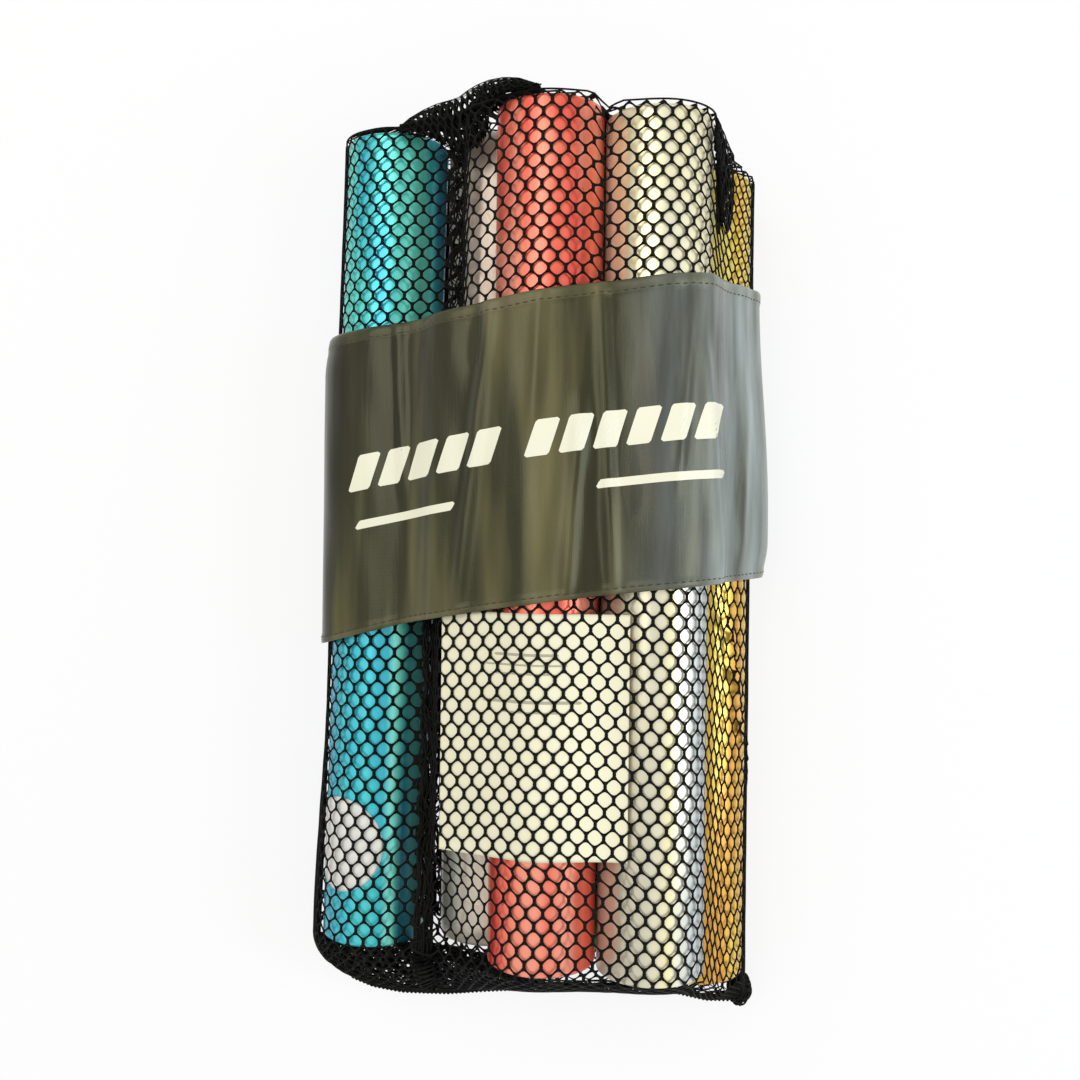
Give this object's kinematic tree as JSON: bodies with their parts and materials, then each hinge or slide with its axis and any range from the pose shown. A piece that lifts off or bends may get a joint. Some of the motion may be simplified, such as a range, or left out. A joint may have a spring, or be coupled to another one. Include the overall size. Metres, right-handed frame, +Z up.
{
  "type": "relay baton set",
  "caption": "Set of open aluminium tube relay batons nested in a drawn net bag, with a cloth label band, an insert card and a round sticker.",
  "frame": {"origin": "on the floor under the middle of the batons' length, at the flat underside of the label band", "axes": "+Z up, +Y along the batons to the bag's drawn mouth, +X across the row from the teal baton to the gold one"},
  "size_m": [0.1746, 0.3445, 0.077],
  "materials": {
    "teal_metal": "bright anodised teal",
    "grey_metal": "satin grey anodised",
    "green_metal": "bright anodised green",
    "gold_metal": "bright anodised gold",
    "red_metal": "bright anodised red",
    "silver_metal": "bright clear anodised",
    "sticker": "white film",
    "card": "uncoated cream card",
    "net": "black knitted polyester net",
    "seam": "black overlocked edge",
    "band": "dark coated nylon with a soft shine"
  },
  "bodies": {
    "bag": {"net_front": "net", "net_back": "net", "side_seam_left": "seam", "side_seam_right": "seam", "bottom_seam": "seam", "corner_bunch": "net", "drawn_mouth": "net", "mouth_hem": "seam", "band_front": "band", "band_back": "band"},
    "teal": {"baton_teal": "teal_metal", "round_sticker": "sticker"},
    "grey": {"baton_grey": "grey_metal"},
    "green": {"baton_green": "green_metal"},
    "gold": {"baton_gold": "gold_metal"},
    "red": {"baton_red": "red_metal"},
    "silver": {"baton_silver": "silver_metal"},
    "card": {"insert_card": "card"}
  },
  "joints": [
    {"name": "teal_slide", "type": "slide", "parent": "bag", "child": "teal", "axis": [0, 1, 0], "range_m": [0, 0.33], "deforming": ["drawn_mouth", "mouth_hem"]},
    {"name": "grey_slide", "type": "slide", "parent": "bag", "child": "grey", "axis": [0, 1, 0], "range_m": [0, 0.33], "deforming": ["drawn_mouth", "mouth_hem"]},
    {"name": "green_slide", "type": "slide", "parent": "bag", "child": "green", "axis": [0, 1, 0], "range_m": [0, 0.33], "deforming": ["drawn_mouth", "mouth_hem"]},
    {"name": "gold_slide", "type": "slide", "parent": "bag", "child": "gold", "axis": [0, 1, 0], "range_m": [0, 0.33], "deforming": ["drawn_mouth", "mouth_hem"]},
    {"name": "red_slide", "type": "slide", "parent": "bag", "child": "red", "axis": [0, 1, 0], "range_m": [0, 0.33], "deforming": ["drawn_mouth", "mouth_hem"]},
    {"name": "silver_slide", "type": "slide", "parent": "bag", "child": "silver", "axis": [0, 1, 0], "range_m": [0, 0.33], "deforming": ["drawn_mouth", "mouth_hem"]},
    {"name": "card_slide", "type": "slide", "parent": "bag", "child": "card", "axis": [0, 1, 0], "range_m": [0, 0.28], "deforming": ["drawn_mouth", "mouth_hem"]}
  ]
}
